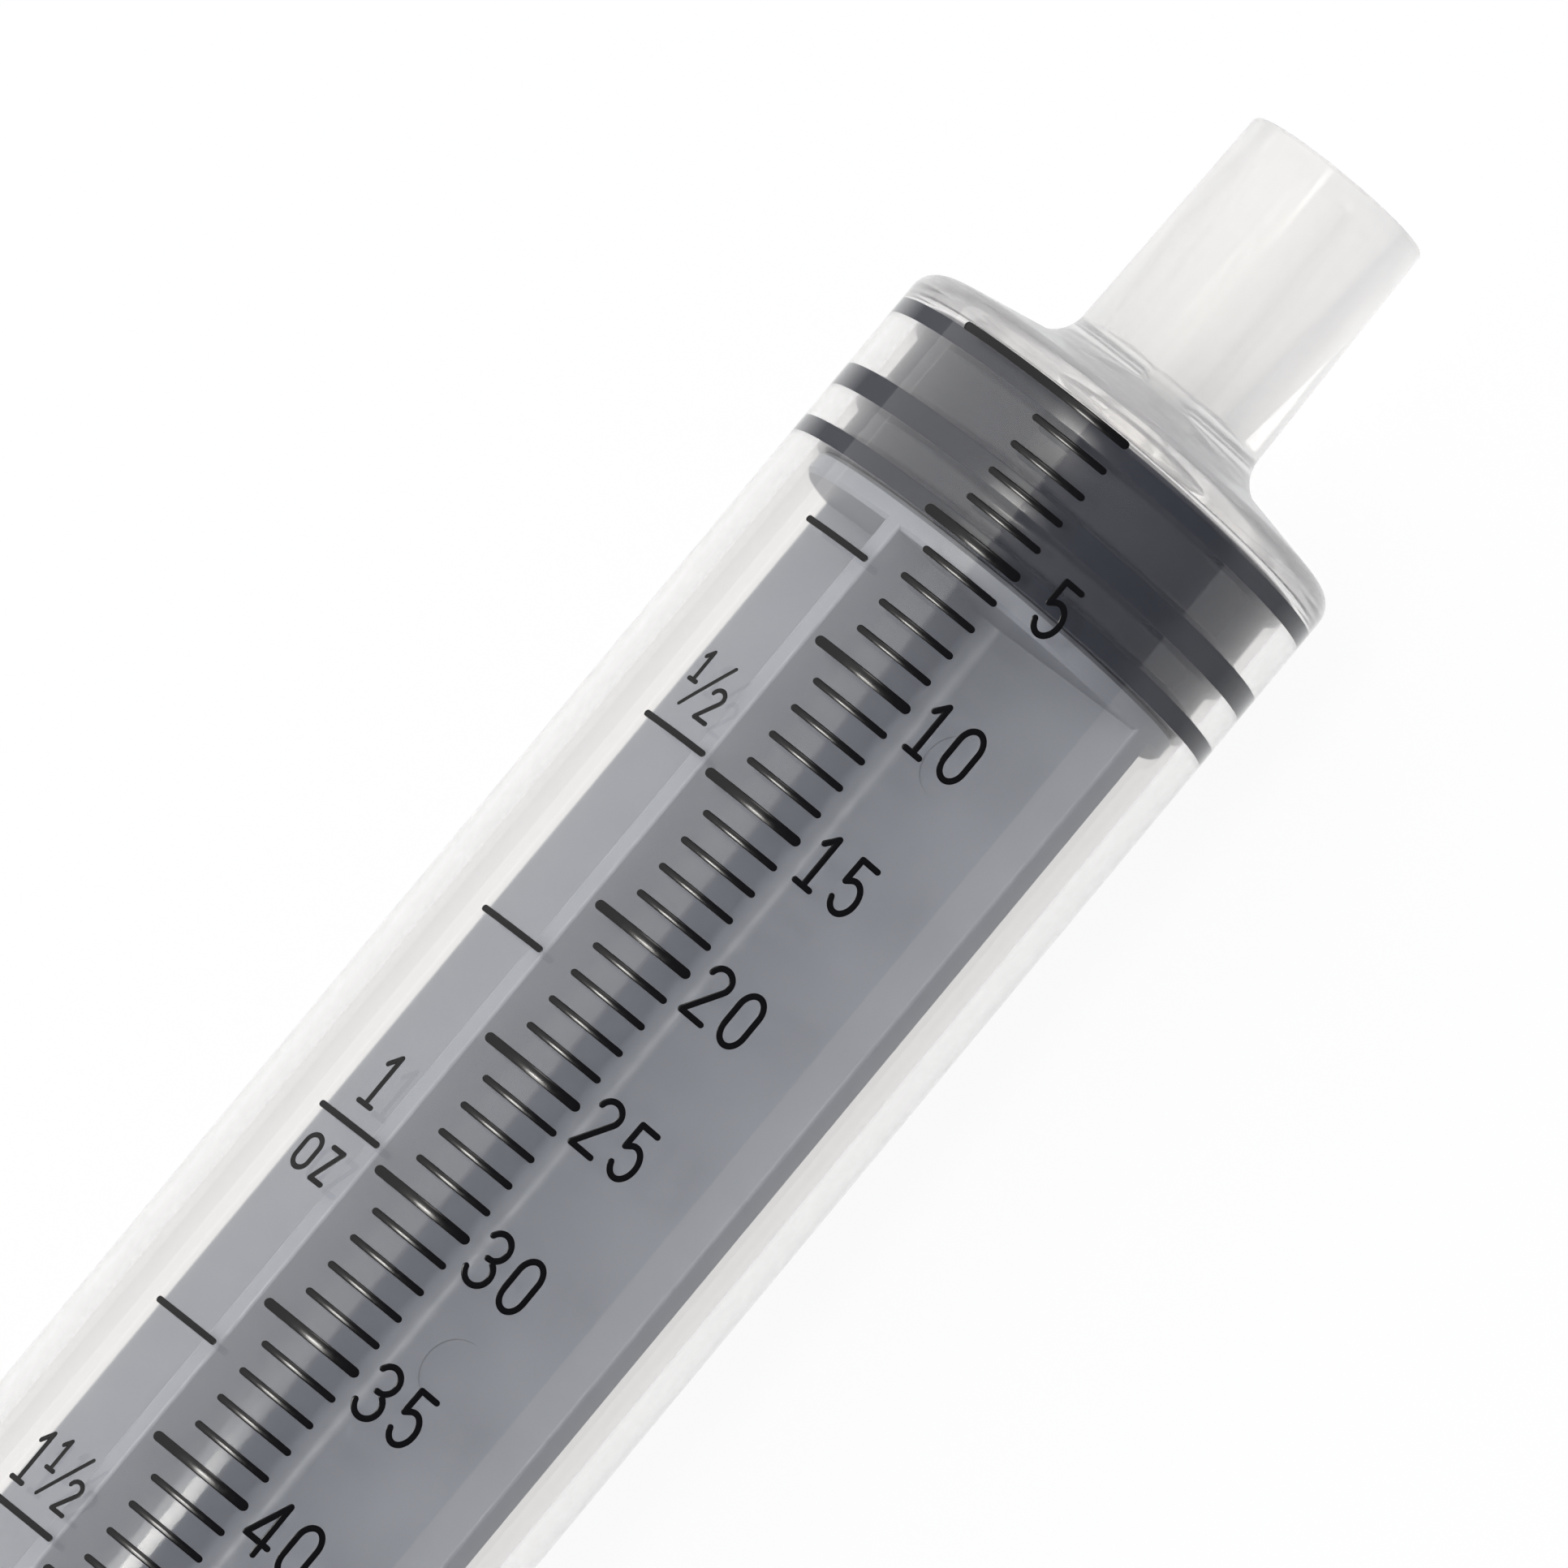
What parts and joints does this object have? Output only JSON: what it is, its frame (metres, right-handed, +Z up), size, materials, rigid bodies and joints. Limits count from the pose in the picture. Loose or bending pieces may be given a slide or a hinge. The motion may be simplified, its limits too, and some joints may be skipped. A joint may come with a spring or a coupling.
{
  "type": "luer lock syringe",
  "caption": "Clear disposable syringe barrel with a locking collar, nozzle and finger flange, and a sliding plunger of a crossed-vane rod and ribbed rubber stopper.",
  "frame": {"origin": "middle of the finger flange's lower flat, on the surface the syringe lies on", "axes": "+X along the barrel's axis towards the tip, +Z up, the side that carries the print"},
  "size_m": [0.165, 0.05, 0.0307],
  "materials": {
    "clear_polypropylene": "moulded, glossy and clear with a faint haze",
    "grey_rubber": "moulded, smooth and lightly lubricated",
    "grey_polypropylene": "moulded, satin"
  },
  "bodies": {
    "barrel": {"barrel": "clear_polypropylene"},
    "stopper": {"stopper": "grey_rubber"},
    "plunger_rod": {"plunger_rod": "grey_polypropylene"}
  },
  "joints": [
    {"name": "plunger_slide", "type": "slide", "parent": "barrel", "child": "stopper", "axis": [-1, 0, 0], "range_m": [0, 0.1145]},
    {"name": "rod_turn", "type": "hinge", "parent": "stopper", "child": "plunger_rod", "pos_m": [0.119, 0, 0.01535], "axis": [1, 0, 0], "continuous": true}
  ]
}
